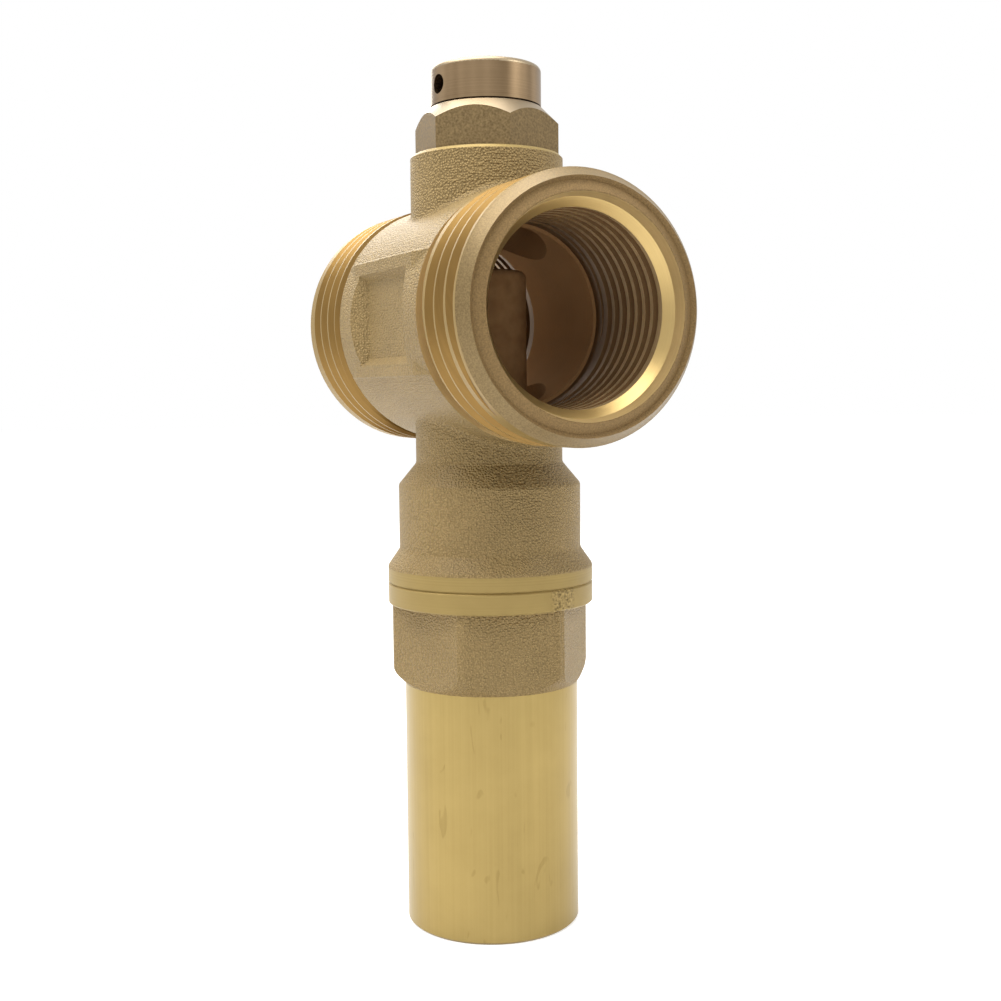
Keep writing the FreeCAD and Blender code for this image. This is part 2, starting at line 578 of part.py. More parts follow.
def breaker_poppet():
    """Disc on a stem that passes up through the spider, with a groove for the clip."""
    clip_z = SPRING_PLATE_Z + SPRING_PLATE_THICKNESS
    clip_top = clip_z + STEM_CLIP_THICKNESS
    stem = POPPET_STEM_D / 2
    groove = stem - STEM_CLIP_BITE
    seal_step = POPPET_D / 2 - POPPET_SEAL_WIDTH
    return turned([(0, POPPET_TOP_Z - POPPET_THICKNESS), (POPPET_D / 2, POPPET_TOP_Z - POPPET_THICKNESS),
                   (POPPET_D / 2, POPPET_TOP_Z), (seal_step, POPPET_TOP_Z),
                   (seal_step, POPPET_TOP_Z + POPPET_SEAL_THICKNESS / 2),
                   (stem, POPPET_TOP_Z + POPPET_SEAL_THICKNESS / 2), (stem, clip_z), (groove, clip_z),
                   (groove, clip_top), (stem, clip_top), (stem, clip_top + STEM_TIP),
                   (0, clip_top + STEM_TIP)])


def breaker_poppet_seal():
    inner = POPPET_D - 2 * POPPET_SEAL_WIDTH + 2 * SEAL_GAP
    return ring(POPPET_D, inner, POPPET_TOP_Z, POPPET_TOP_Z + POPPET_SEAL_THICKNESS)


def breaker_spring_plate():
    hole = POPPET_STEM_D + 2 * SCREWED_GAP
    return ring(SPRING_PLATE_D, hole, SPRING_PLATE_Z, SPRING_PLATE_Z + SPRING_PLATE_THICKNESS)


def breaker_stem_clip():
    bottom = SPRING_PLATE_Z + SPRING_PLATE_THICKNESS
    inner = POPPET_STEM_D - 2 * STEM_CLIP_BITE + 2 * SCREWED_GAP
    return split_ring(STEM_CLIP_D, inner, bottom, bottom + STEM_CLIP_THICKNESS)


def overtravel_clip():
    outer = LOWER_BORE_D + 2 * CLIP_BITE - 2 * SCREWED_GAP
    return split_ring(outer, outer - 2 * CLIP_WIDTH, CLIP_Z, CLIP_Z + CLIP_THICKNESS)


PIECES = {
    "valve_body": valve_body(),
    "lower_housing": lower_housing(),
    "housing_o_ring": housing_o_ring(),
    "drain_tube": drain_tube(),
    "capsule_carrier": capsule_carrier(),
    "wax_capsule": wax_capsule(),
    "capsule_guide": capsule_guide(),
    "overtravel_spring": coil_spring(OVERTRAVEL_SPRING_D, OVERTRAVEL_WIRE_D, COLLAR_TOP_Z, CLIP_Z,
                                     OVERTRAVEL_TURNS),
    "overtravel_clip": overtravel_clip(),
    "piston_rod": piston_rod(),
    "shutter": shutter(),
    "shutter_seal": shutter_seal(),
    "seal_screw": seal_screw(),
    "return_spring": coil_spring(RETURN_SPRING_D, RETURN_WIRE_D, WEB_TOP_Z,
                                 SHUTTER_TOP_Z - SHUTTER_FLANGE_THICKNESS, RETURN_TURNS),
    "breaker_plug": breaker_plug(),
    "breaker_gasket": breaker_gasket(),
    "breaker_cap": breaker_cap(),
    "breaker_poppet": breaker_poppet(),
    "breaker_poppet_seal": breaker_poppet_seal(),
    "breaker_spring": coil_spring(BREAKER_SPRING_D, BREAKER_WIRE_D, AIR_WEB_TOP_Z, SPRING_PLATE_Z,
                                  BREAKER_TURNS),
    "breaker_spring_plate": breaker_spring_plate(),
    "breaker_stem_clip": breaker_stem_clip(),
}

os.makedirs("parts", exist_ok=True)
for name, shape in PIECES.items():
    shape.exportStep("parts/" + name + ".step")
    print(name, "solids", len(shape.Solids), "valid", shape.isValid(), "mm3", round(shape.Volume, 1))
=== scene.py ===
# %% [markdown]
# # Anti-freeze drain valve
# The valve sits in the pipe of a heat pump. A vacuum breaker closes its top, and a capsule of wax in the
# water opens the drain tube below before the water can freeze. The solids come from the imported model,
# already in place and in metres, so this lesson adds what a solid model leaves out: screw threads, round
# spring wire and the finish of the brass.

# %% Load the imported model
import json
import math

import bmesh
import bpy
from mathutils import Matrix, Vector
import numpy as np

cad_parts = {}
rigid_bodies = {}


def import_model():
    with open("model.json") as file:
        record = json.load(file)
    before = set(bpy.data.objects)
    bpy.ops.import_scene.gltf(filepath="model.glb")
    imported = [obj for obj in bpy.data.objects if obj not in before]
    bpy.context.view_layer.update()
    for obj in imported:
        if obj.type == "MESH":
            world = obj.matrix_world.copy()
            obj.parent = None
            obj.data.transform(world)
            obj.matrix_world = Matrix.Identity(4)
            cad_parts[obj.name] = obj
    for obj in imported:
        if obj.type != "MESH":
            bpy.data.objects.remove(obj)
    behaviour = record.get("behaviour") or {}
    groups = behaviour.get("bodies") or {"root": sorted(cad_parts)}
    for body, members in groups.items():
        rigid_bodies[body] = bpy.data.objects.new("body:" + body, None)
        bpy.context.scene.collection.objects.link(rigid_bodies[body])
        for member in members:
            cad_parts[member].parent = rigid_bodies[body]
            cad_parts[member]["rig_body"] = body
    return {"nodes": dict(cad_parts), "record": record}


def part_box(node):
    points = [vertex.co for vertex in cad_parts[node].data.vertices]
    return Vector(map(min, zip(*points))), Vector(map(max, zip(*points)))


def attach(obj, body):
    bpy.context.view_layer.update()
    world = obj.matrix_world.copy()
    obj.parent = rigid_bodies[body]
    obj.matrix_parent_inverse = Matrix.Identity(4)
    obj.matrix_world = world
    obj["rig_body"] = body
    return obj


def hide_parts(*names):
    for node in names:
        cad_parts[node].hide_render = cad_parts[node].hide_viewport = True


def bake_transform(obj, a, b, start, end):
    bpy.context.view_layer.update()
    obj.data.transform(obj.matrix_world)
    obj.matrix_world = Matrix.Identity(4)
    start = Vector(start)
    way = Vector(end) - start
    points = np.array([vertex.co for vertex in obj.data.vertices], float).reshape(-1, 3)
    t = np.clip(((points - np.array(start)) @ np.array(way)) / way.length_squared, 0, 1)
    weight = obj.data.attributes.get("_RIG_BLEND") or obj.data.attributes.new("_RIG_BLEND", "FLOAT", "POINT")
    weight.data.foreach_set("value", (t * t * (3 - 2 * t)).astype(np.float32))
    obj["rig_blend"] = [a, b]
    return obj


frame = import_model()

MM = 0.001
nodes = frame["nodes"]
mounts = {mount["name"]: mount for mount in frame["record"]["mounts"]}
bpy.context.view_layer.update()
scene = bpy.context.scene


def in_mm(lengths):
    """Lengths in millimetres, rounded for printing."""
    return [round(length / MM, 2) for length in lengths]


# %% [markdown]
# ## Sizes that everything hangs on
# A maker's drawing gives a few driving sizes, and the rest follows. Here they are read from the packed
# model: the mounts carry the thread radii and the height of the pipe, and the body's box gives the levels
# along the valve's axis. Typed numbers would do as well, but they would part from the model when it
# changes.


# %% Driving sizes
def mount_radius(name):
    """Radius of a round mount."""
    return mounts[name]["dims"]["r_mm"] * MM


def mount_span(name):
    """Where a mount of the front port starts and ends along the pipe."""
    half = mounts[name]["dims"]["length_mm"] * MM / 2
    middle = mounts[name]["pos_m"][0]
    return middle - half, middle + half


pipe_axis = mounts["front_port_male"]["pos_m"][2]
male_crest = mount_radius("front_port_male")
female_crest = mount_radius("front_port_female")
male_first, male_last = mount_span("front_port_male")
female_first, female_last = mount_span("front_port_female")
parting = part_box("valve_body")[0].z
neck_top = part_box("valve_body")[1].z
pipe_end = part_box("valve_body")[1].x
print("pipe axis and parting plane at", in_mm([pipe_axis, parting]), "mm")

# %% [markdown]
# ## Camera
# The photograph was taken from close by, a little below the pipe's axis and about 27 degrees to one side
# of it. A lens can be guessed by eye, but the two ports give it away: the far one looks smaller. The
# numbers below were fitted to the outlines of both ports, and the slight roll follows the lean of the
# tube.

# %% Camera
IMAGE_SIDE = 1001
FOCAL_PIXELS = 1334.5
SENSOR_WIDTH = 36.0
NEAREST_SEEN = 5 * MM
CAMERA_AROUND = math.radians(26.74)
CAMERA_DISTANCE = 182.60 * MM
CAMERA_ASIDE = 1.48 * MM
CAMERA_HEIGHT = 72.28 * MM
CAMERA_DOWN = math.radians(4.504)
CAMERA_ROLL = math.radians(-0.52)


def new_object(name, data):
    """Object with this data, linked to the scene."""
    made = bpy.data.objects.new(name, data)
    scene.collection.objects.link(made)
    return made


to_camera = Vector((math.cos(CAMERA_AROUND), -math.sin(CAMERA_AROUND), 0))
picture_right = Vector((math.sin(CAMERA_AROUND), math.cos(CAMERA_AROUND), 0))
up = Vector((0, 0, 1))
back = to_camera * math.cos(CAMERA_DOWN) + up * math.sin(CAMERA_DOWN)
facing = Matrix((picture_right, back.cross(picture_right), back)).transposed().to_4x4()
place = to_camera * CAMERA_DISTANCE + picture_right * CAMERA_ASIDE + up * CAMERA_HEIGHT

camera = new_object("camera", bpy.data.cameras.new("camera"))
camera.data.sensor_width = SENSOR_WIDTH
camera.data.lens = SENSOR_WIDTH * FOCAL_PIXELS / IMAGE_SIDE
camera.data.clip_start = NEAREST_SEEN
camera.matrix_world = Matrix.Translation(place) @ facing @ Matrix.Rotation(CAMERA_ROLL, 4, "Z")
scene.camera = camera
scene.view_settings.view_transform = "Standard"
print("camera with a", round(camera.data.lens, 1), "mm lens")

# %% [markdown]
# ## Helpers for shader nodes
# Every finish below is a small node tree. One helper adds a node, sets its options and fills its inputs,
# where an input is either a plain value or the output of another node. A second one does sums. They keep
# each material short enough to read.


# %% Node helpers
def add(tree, kind, inputs=None, **options):
    """Add a node; an input may be a value or another node's output."""
    made = tree.nodes.new(kind)
    for name, value in options.items():
        setattr(made, name, value)
    for name, value in (inputs or {}).items():
        if isinstance(value, bpy.types.NodeSocket):
            tree.links.new(value, made.inputs[name])
        else:
            made.inputs[name].default_value = value
    return made


def math_node(tree, operation, *values, clamp=False):
    """Output of a Math node on one to three values or sockets."""
    inputs = dict(enumerate(values))
    return add(tree, "ShaderNodeMath", inputs, operation=operation, use_clamp=clamp).outputs[0]


print("node helpers ready")

# %% [markdown]
# ## Studio
# The photograph has a pure white surround. White could come from strong lamps, but then the brass would
# wash out. Instead the world and the floor look white only to the camera and to reflections, while the
# light that they throw on the valve stays at a plain level.

# %% World and floor
WHITE = (1, 1, 1, 1)
SURROUND_LIGHT = 0.72
FLOOR_GLOW = 0.52
FLOOR_SIDE = 6.0
FLOOR_TONE = (0.70, 0.70, 0.70, 1)


def seen_directly(tree):
    """One for camera, mirror and glass rays, zero for the rays that carry light."""
    path = add(tree, "ShaderNodeLightPath").outputs
    glossy = math_node(tree, "MAXIMUM", path["Is Camera Ray"], path["Is Glossy Ray"])
    return math_node(tree, "MAXIMUM", glossy, path["Is Transmission Ray"])


world = bpy.data.worlds.new("white_surround")
world.use_nodes = True
tree = world.node_tree
tree.nodes.clear()
strength = math_node(tree, "MULTIPLY_ADD", seen_directly(tree), 1 - SURROUND_LIGHT, SURROUND_LIGHT)
sky = add(tree, "ShaderNodeBackground", {"Color": WHITE, "Strength": strength})
add(tree, "ShaderNodeOutputWorld", {"Surface": sky.outputs[0]})
scene.world = world

floor_paint = bpy.data.materials.new("pale_floor")
floor_paint.use_nodes = True
tree = floor_paint.node_tree
tree.nodes.clear()
glow = math_node(tree, "MULTIPLY", seen_directly(tree), FLOOR_GLOW)
matte = add(tree, "ShaderNodeBsdfDiffuse", {"Color": FLOOR_TONE})
shine = add(tree, "ShaderNodeEmission", {"Color": WHITE, "Strength": glow})
both = add(tree, "ShaderNodeAddShader", {0: matte.outputs[0], 1: shine.outputs[0]})
add(tree, "ShaderNodeOutputMaterial", {"Surface": both.outputs[0]})

half = FLOOR_SIDE / 2
corners = [(-half, -half, 0), (half, -half, 0), (half, half, 0), (-half, half, 0)]
floor_mesh = bpy.data.meshes.new("floor")
floor_mesh.from_pydata(corners, [], [range(len(corners))])
floor_mesh.materials.append(floor_paint)
floor = new_object("floor", floor_mesh)
print("white surround and a floor of", FLOOR_SIDE, "m")

# %% [markdown]
# ## Lamps
# The surround lights the valve evenly, and four lamps give it shape. The strongest is a wide softbox
# overhead, and a second one behind draws bright edges. Two faint lamps, at the upper left and at the
# right, lift the sides. One strong lamp would be simpler, but its small highlight would look hard on the
# brass. The distances are metres from the valve's foot, as the camera sees it.

# %% Lamps
LAMPS = {
    "top_softbox": {"left": 0.10, "front": 0.02, "up": 0.46, "side": 0.46, "watts": 2.8},
    "key_upper_left": {"left": 0.34, "front": 0.10, "up": 0.36, "side": 0.26, "watts": 0.12},
    "fill_right": {"left": -0.14, "front": 0.06, "up": 0.20, "side": 0.07, "watts": 0.08},
    "rim_behind": {"left": 0.12, "front": -0.42, "up": 0.32, "side": 0.30, "watts": 1.1},
}
aim = Vector((0, 0, pipe_axis))

for name, lamp in LAMPS.items():
    data = bpy.data.lights.new(name, "AREA")
    data.shape = "DISK"
    data.size = lamp["side"]
    data.energy = lamp["watts"]
    spot = to_camera * lamp["front"] - picture_right * lamp["left"] + up * lamp["up"]
    made = new_object(name, data)
    made.location = spot
    made.rotation_euler = (spot - aim).to_track_quat("Z", "Y").to_euler()
print("lamps:", ", ".join(LAMPS))

# %% [markdown]
# ## Building blocks of a finish
# A finish starts from the piece's own coordinates, takes noise there, mixes two tones by it and ends in a
# metal shader. Those steps come back in every finish, so each is a helper here. Blasted or dull faces
# scatter more light than a clean cut does, so they count as only partly metallic.

# %% Finish helpers
NOISE_SPAN = (0.3, 0.7)
NOISE_MIDDLE = 0.5
MATTE_SKIN = {"Metallic": 0.4, "Specular IOR Level": 0.2}
SHOT_SKIN = {**MATTE_SKIN, "Coat Weight": 0.15, "Coat Roughness": 0.4}
DULL_SKIN = {"Metallic": 0.1, "Specular IOR Level": 0.0}


def new_finish(name):
    """Material with an empty node tree and the piece's own coordinates."""
    finish = bpy.data.materials.new(name)
    finish.use_nodes = True
    finish.node_tree.nodes.clear()
    return finish, finish.node_tree, add(finish.node_tree, "ShaderNodeTexCoord").outputs["Object"]


def noise(tree, spot, scale, detail, **more):
    """Value of a Noise node at a spot; more sets further inputs."""
    inputs = {"Vector": spot, "Scale": scale, "Detail": detail, **more}
    return add(tree, "ShaderNodeTexNoise", inputs).outputs[0]


def noise_along(tree, distance, detail, **more):
    """Value of a Noise node that changes along one line only."""
    inputs = {"W": distance, "Scale": 1.0, "Detail": detail, **more}
    return add(tree, "ShaderNodeTexNoise", inputs, noise_dimensions="1D").outputs[0]


def stretch(tree, value, low, high):
    """Value stretched so that low becomes 0 and high becomes 1."""
    return add(tree, "ShaderNodeMapRange", {"Value": value, "From Min": low, "From Max": high}).outputs[0]


def between(tree, factor, low, high):
    """Value that runs from low to high as the factor runs from 0 to 1."""
    return add(tree, "ShaderNodeMapRange", {"Value": factor, "To Min": low, "To Max": high}).outputs[0]


def weighted_sum(tree, *shares):
    """Sum of values, each given with its weight."""
    total = 0.0
    for value, weight in shares:
        total = math_node(tree, "MULTIPLY_ADD", value, weight, total)
    return total


def colour_mix(tree, factor, low, high):
    """Mix node for colours, filled through its colour sockets."""
    mix = tree.nodes.new("ShaderNodeMix")
    mix.data_type = "RGBA"
    sockets = {socket.name: socket for socket in mix.inputs if socket.enabled}
    for name, value in (("Factor", factor), ("A", low), ("B", high)):
        if isinstance(value, bpy.types.NodeSocket):
            tree.links.new(value, sockets[name])
        else:
            sockets[name].default_value = value
    return next(socket for socket in mix.outputs if socket.enabled)


def bump_map(tree, height, strength, depth):
    """Normal that makes a height shade like real dents of this depth."""
    inputs = {"Strength": strength, "Distance": depth, "Height": height}
    return add(tree, "ShaderNodeBump", inputs).outputs[0]


def metal(tree, colour, roughness, normal, **more):
    """Principled metal that ends a node tree; more sets further inputs."""
    inputs = {"Base Color": colour, "Metallic": 1.0, "Roughness": roughness, "Normal": normal}
    shader = add(tree, "ShaderNodeBsdfPrincipled", {**inputs, **more})
    add(tree, "ShaderNodeOutputMaterial", {"Surface": shader.outputs[0]})


print("finish helpers ready")

# %% [markdown]
# ## Cast brass
# The body and the hexagon housing are cast and then blasted with fine shot, which leaves a tan skin of
# tiny dimples about a third of a millimetre across. Real dents in the mesh would need millions of faces,
# and a picture of the grain would stretch on the curves. Noise in the piece's own space does neither:
# cells give the dimples and the bump, and paint the creases between dimple tops darker as painted shade;
# a finer noise gives the grain and the roughness, and a slower one the slight stains.

# %% Cast brass
CAST_TONES = ((0.160, 0.109, 0.042, 1), (0.452, 0.315, 0.132, 1))
CAST_ROUGHNESS = (0.5, 0.62)
DIMPLES_PER_METRE = 3100
DIMPLE_SCATTER = 0.8
DIMPLE_SPAN = (0.75, 0.2)
DIMPLE_DEPTH = 0.2 * MM
STAINS_PER_METRE = 130
# share of the painted shade that darkens the creases between the dimple tops
CREASE_SHADE_SHARE = 0.36
GRAIN_SHARE = 0.4
STAIN_SHARE = 0.3

cast_brass, tree, spot = new_finish("cast_brass")
cells = add(tree, "ShaderNodeTexVoronoi", {
    "Vector": spot, "Scale": DIMPLES_PER_METRE, "Randomness": DIMPLE_SCATTER})
# height of the dimples; it also drives painted shade that makes the creases darker than the tops
dimple_height_and_shade = stretch(tree, cells.outputs["Distance"], *DIMPLE_SPAN)
fine = noise(tree, spot, scale=2 * DIMPLES_PER_METRE, detail=2.0)
stains = noise(tree, spot, scale=STAINS_PER_METRE, detail=3.0)
shade = weighted_sum(tree, (dimple_height_and_shade, CREASE_SHADE_SHARE), (fine, GRAIN_SHARE), (stains, STAIN_SHARE))
normal = bump_map(tree, dimple_height_and_shade, strength=1.0, depth=DIMPLE_DEPTH)
roughness = between(tree, fine, *CAST_ROUGHNESS)
metal(tree, colour_mix(tree, shade, *CAST_TONES), roughness, normal, **SHOT_SKIN)
print("finish:", cast_brass.name)

# %% [markdown]
# ## Turned brass
# Threads, port mouths, flange bands and the cap come off a lathe: yellow, with hairlines that run round
# the axis. A band of noise that depends only on the distance along the axis, and on the radius for faces
# that look along it, draws those lines the way the tool did. The same recipe serves the pipe's axis and
# the valve's axis. A painted reflection adds soft light and dark bands along the axis, such as a smooth
# cap mirrors, and painted shade keeps a face dark near the middle of the axis and bright towards its end.

# %% Turned brass
TOOL_LINES_PER_METRE = 5200
TOOL_LINE_DEPTH = 0.02 * MM
TOOL_LINE_SHARE = 0.5
CLOUDS_PER_METRE = 160.0
CLOUD_SHARE = 0.5
# painted reflection: how many light and dark bands per radian round the axis
REFLECTION_BANDS_PER_RADIAN = 2.6
BRIGHT_CUT = {"Coat Weight": 0.2, "Coat Roughness": 0.3}


def turned_finish(name, along_pipe, tones, roughness, painted_reflection=0.0, painted_depth_shade=None, **more):
    """Brass with tool lines round the pipe's axis or round the valve's axis.

    The strength of a painted reflection, soft light and dark bands along that axis, can be set, and
    so can the distances along it between which painted shade gives way to a bright face.
    """
    finish, tree, spot = new_finish(name)
    axis = add(tree, "ShaderNodeSeparateXYZ", {0: spot}).outputs
    if along_pipe:
        along, across = axis["X"], axis["Y"]
        third = math_node(tree, "SUBTRACT", axis["Z"], pipe_axis)
    else:
        along, across, third = axis["Z"], axis["X"], axis["Y"]
    across_squared = math_node(tree, "MULTIPLY", across, across)
    radius = math_node(tree, "SQRT", math_node(tree, "MULTIPLY_ADD", third, third, across_squared))
    distance = math_node(tree, "ABSOLUTE", along)
    path = math_node(tree, "MULTIPLY", math_node(tree, "ADD", distance, radius), TOOL_LINES_PER_METRE)
    lines = noise_along(tree, path, detail=3.0, Roughness=0.7)
    cloud = noise(tree, spot, scale=CLOUDS_PER_METRE, detail=4.0)
    # painted reflection: soft light and dark bands round the axis
    turn = math_node(tree, "MULTIPLY", math_node(tree, "ARCTAN2", third, across), REFLECTION_BANDS_PER_RADIAN)
    band = stretch(tree, noise_along(tree, turn, detail=1.0), *NOISE_SPAN)
    band = math_node(tree, "SUBTRACT", band, NOISE_MIDDLE)
    shade = weighted_sum(tree, (lines, TOOL_LINE_SHARE), (cloud, CLOUD_SHARE), (band, painted_reflection))
    # painted shade: the face is dark near the middle of the axis and bright towards its end
    if painted_depth_shade:
        shade = math_node(tree, "MULTIPLY", shade, stretch(tree, distance, *painted_depth_shade))
    normal = bump_map(tree, lines, strength=0.25, depth=TOOL_LINE_DEPTH)
    metal(tree, colour_mix(tree, shade, *tones), between(tree, cloud, *roughness), normal, **more)
    return finish


print("turned brass with", TOOL_LINES_PER_METRE, "tool lines per metre")

# %% [markdown]
# ## The turned faces of the ports
# Round the pipe's axis the lathe left faces of different ages. The flanks of the male threads shine and
# their crests are rubbed, and the mouth of the port is bright. The inner thread is dull, and its crests
# carry painted shade: dark deep in the port and bright near the mouth. One finish for all would look like
# plastic, so each face has its own pair of tones.

# %% Port finishes
# painted shade: between these distances from the valve's axis the inner crests go from dark to bright
DEPTH_SHADE_SPAN = (10.5 * MM, 17 * MM)

thread_brass = turned_finish(
    "thread_brass", along_pipe=True, roughness=(0.3, 0.42),
    tones=((0.155, 0.087, 0.023, 1), (0.30, 0.176, 0.049, 1)), **BRIGHT_CUT)
crest_brass = turned_finish(
    "crest_brass", along_pipe=True, roughness=(0.4, 0.5),
    tones=((0.24, 0.155, 0.048, 1), (0.38, 0.258, 0.09, 1)), **MATTE_SKIN)
mouth_brass = turned_finish(
    "mouth_brass", along_pipe=True, roughness=(0.3, 0.4),
    tones=((0.37, 0.25, 0.094, 1), (0.62, 0.46, 0.20, 1)))
rim_brass = turned_finish(
    "rim_brass", along_pipe=True, roughness=(0.36, 0.48),
    tones=((0.46, 0.32, 0.135, 1), (0.80, 0.57, 0.255, 1)), **MATTE_SKIN)
bore_brass = turned_finish(
    "bore_brass", along_pipe=True, roughness=(0.7, 0.8),
    tones=((0.12, 0.066, 0.029, 1), (0.24, 0.138, 0.06, 1)), **DULL_SKIN)
# painted shade on the inner crests: dark deep in the port, bright near the mouth
bore_crest = turned_finish(
    "bore_crest", along_pipe=True, roughness=(0.4, 0.5), painted_depth_shade=DEPTH_SHADE_SPAN,
    tones=((0.16, 0.092, 0.04, 1), (0.86, 0.62, 0.32, 1)), **MATTE_SKIN)
deep_brass = turned_finish(
    "deep_brass", along_pipe=True, roughness=(0.7, 0.8),
    tones=((0.30, 0.165, 0.071, 1), (0.48, 0.27, 0.118, 1)), **DULL_SKIN)
print("finishes round the pipe's axis ready")

# %% [markdown]
# ## The turned faces of the stem
# The flange bands and the vacuum breaker were turned round the valve's axis. The bands are matte and
# yellow, and the cap is browner and smoother, with a polished edge. They use the same recipe with the
# other axis.

# %% Band and cap finishes
BAND_TONES = ((0.24, 0.167, 0.056, 1), (0.43, 0.31, 0.112, 1))
BAND_ROUGHNESS = (0.4, 0.52)

band_brass = turned_finish(
    "band_brass", along_pipe=False, roughness=BAND_ROUGHNESS, tones=BAND_TONES, **MATTE_SKIN)
# the cap carries the painted reflection of soft light and dark bands
cap_brass = turned_finish(
    "cap_brass", along_pipe=False, roughness=(0.28, 0.4), painted_reflection=0.7,
    tones=((0.16, 0.106, 0.056, 1), (0.35, 0.243, 0.138, 1)))
crown_brass = turned_finish(
    "crown_brass", along_pipe=False, roughness=(0.34, 0.44),
    tones=((0.25, 0.188, 0.112, 1), (0.42, 0.335, 0.222, 1)))
print("finishes round the valve's axis ready")

# %% [markdown]
# ## Drawn tube
# The drain tube is drawn through a die, so its hairlines run lengthwise, and it carries a few handling
# scratches. Both could be painted by hand. Noise that is squeezed across the tube and left long along it
# gives the lines, and the peaks of a second, tilted noise give short scratches in no order.

# %% Drawn tube
TUBE_TONES = ((0.255, 0.181, 0.063, 1), (0.415, 0.307, 0.116, 1))
TUBE_ROUGHNESS = (0.30, 0.42)
TUBE_CLOUDS_PER_METRE = 110.0
TUBE_CLOUD_SHARE = 0.6
STREAKS_PER_METRE = (2600, 2600, 26)
STREAK_SHARE = 0.35
STREAK_HEIGHT = 0.4
RUBS_PER_METRE = (420, 420, 150)
RUB_TILT = (0.5, 0.35, 0.0)
SCRATCH_PEAKS = (0.68, 0.74)
SCRATCH_SHARE = -0.25
SCRATCH_HEIGHT = -1.0
TUBE_BUMP_DEPTH = 0.03 * MM

tube_brass, tree, spot = new_finish("tube_brass")
drawn = add(tree, "ShaderNodeMapping", {"Vector": spot, "Scale": STREAKS_PER_METRE})
streaks = noise(tree, drawn.outputs[0], scale=1.0, detail=2.0)
cloud = noise(tree, spot, scale=TUBE_CLOUDS_PER_METRE, detail=5.0, Roughness=0.6)
tilted = add(tree, "ShaderNodeMapping", {"Vector": spot, "Scale": RUBS_PER_METRE, "Rotation": RUB_TILT})
rubs = noise(tree, tilted.outputs[0], scale=1.0, detail=1.0, Distortion=1.4)
scratch = stretch(tree, rubs, *SCRATCH_PEAKS)
shade = weighted_sum(tree, (streaks, STREAK_SHARE), (cloud, TUBE_CLOUD_SHARE), (scratch, SCRATCH_SHARE))
height = weighted_sum(tree, (streaks, STREAK_HEIGHT), (scratch, SCRATCH_HEIGHT))
normal = bump_map(tree, height, strength=0.2, depth=TUBE_BUMP_DEPTH)
roughness = between(tree, cloud, *TUBE_ROUGHNESS)
metal(tree, colour_mix(tree, shade, *TUBE_TONES), roughness, normal)
print("finish:", tube_brass.name)

# %% [markdown]
# ## Blasted rings, flats, rubber, steel and copper
# The ring and the bevel at the end of the port are finely blasted, and the plug's flats keep the skin of
# the bar. Seals are matte rubber, springs and clips are stainless wire and strip, and the capsule is dull
# copper. None of them has lines, so one fine grain that drives colour, roughness and bump is enough.

# %% Grained finishes
GRAIN_DEPTH = 0.03 * MM


def plain_grain(name, per_metre, tones, roughness, **more):
    """Finish with one fine grain in colour, roughness and bump."""
    finish, tree, spot = new_finish(name)
    grain = stretch(tree, noise(tree, spot, scale=per_metre, detail=4.0), *NOISE_SPAN)
    normal = bump_map(tree, grain, strength=0.3, depth=GRAIN_DEPTH)
    metal(tree, colour_mix(tree, grain, *tones), between(tree, grain, *roughness), normal, **more)
    return finish


ring_brass = plain_grain(
    "ring_brass", per_metre=5200, roughness=(0.46, 0.6),
    tones=((0.165, 0.105, 0.043, 1), (0.29, 0.187, 0.077, 1)), **MATTE_SKIN)
bevel_brass = plain_grain(
    "bevel_brass", per_metre=5200, roughness=(0.36, 0.48),
    tones=((0.165, 0.11, 0.045, 1), (0.275, 0.192, 0.082, 1)), **SHOT_SKIN)
flat_brass = plain_grain(
    "flat_brass", per_metre=3600, roughness=(0.46, 0.6),
    tones=((0.13, 0.089, 0.039, 1), (0.272, 0.188, 0.086, 1)), **MATTE_SKIN)
seal_rubber = plain_grain(
    "seal_rubber", per_metre=1800, roughness=(0.6, 0.8),
    tones=((0.012, 0.012, 0.012, 1), (0.035, 0.034, 0.033, 1)), Metallic=0.0)
spring_steel = plain_grain(
    "spring_steel", per_metre=900, roughness=(0.22, 0.38),
    tones=((0.42, 0.42, 0.42, 1), (0.66, 0.65, 0.64, 1)))
capsule_copper = plain_grain(
    "capsule_copper", per_metre=500, roughness=(0.6, 0.75),
    tones=((0.25, 0.139, 0.059, 1), (0.35, 0.198, 0.088, 1)), **DULL_SKIN)
print("rings, flats, rubber, steel and copper ready")

# %% [markdown]
# ## Growing a mesh from nodes
# Threads and springs are both a profile that is swept along a helix, and Geometry Nodes can draw that
# from a few numbers. The result has to be moved, cut with or blended between two bodies, so each tree is
# run once and kept as a plain mesh.


# %% Helpers for Geometry Nodes
def new_tree(name, numbers):
    """Geometry Nodes tree with these number inputs, a material input and one geometry output."""
    tree = bpy.data.node_groups.new(name, "GeometryNodeTree")
    for label in numbers:
        tree.interface.new_socket(label, in_out="INPUT", socket_type="NodeSocketFloat")
    tree.interface.new_socket("Material", in_out="INPUT", socket_type="NodeSocketMaterial")
    tree.interface.new_socket("Geometry", in_out="OUTPUT", socket_type="NodeSocketGeometry")
    return tree, add(tree, "NodeGroupInput").outputs


def close_tree(tree, geometry, material):
    """End a tree the way the export needs it: real geometry with its material set."""
    solid = add(tree, "GeometryNodeRealizeInstances", {"Geometry": geometry}).outputs[0]
    painted = add(tree, "GeometryNodeSetMaterial", {"Geometry": solid, "Material": material}).outputs[0]
    add(tree, "NodeGroupOutput", {"Geometry": painted})


def applied_mesh(owner, modifier):
    """New mesh of an object with its modifier applied; the modifier is then removed."""
    graph = bpy.context.evaluated_depsgraph_get()
    mesh = bpy.data.meshes.new_from_object(owner.evaluated_get(graph))
    owner.modifiers.remove(modifier)
    return mesh


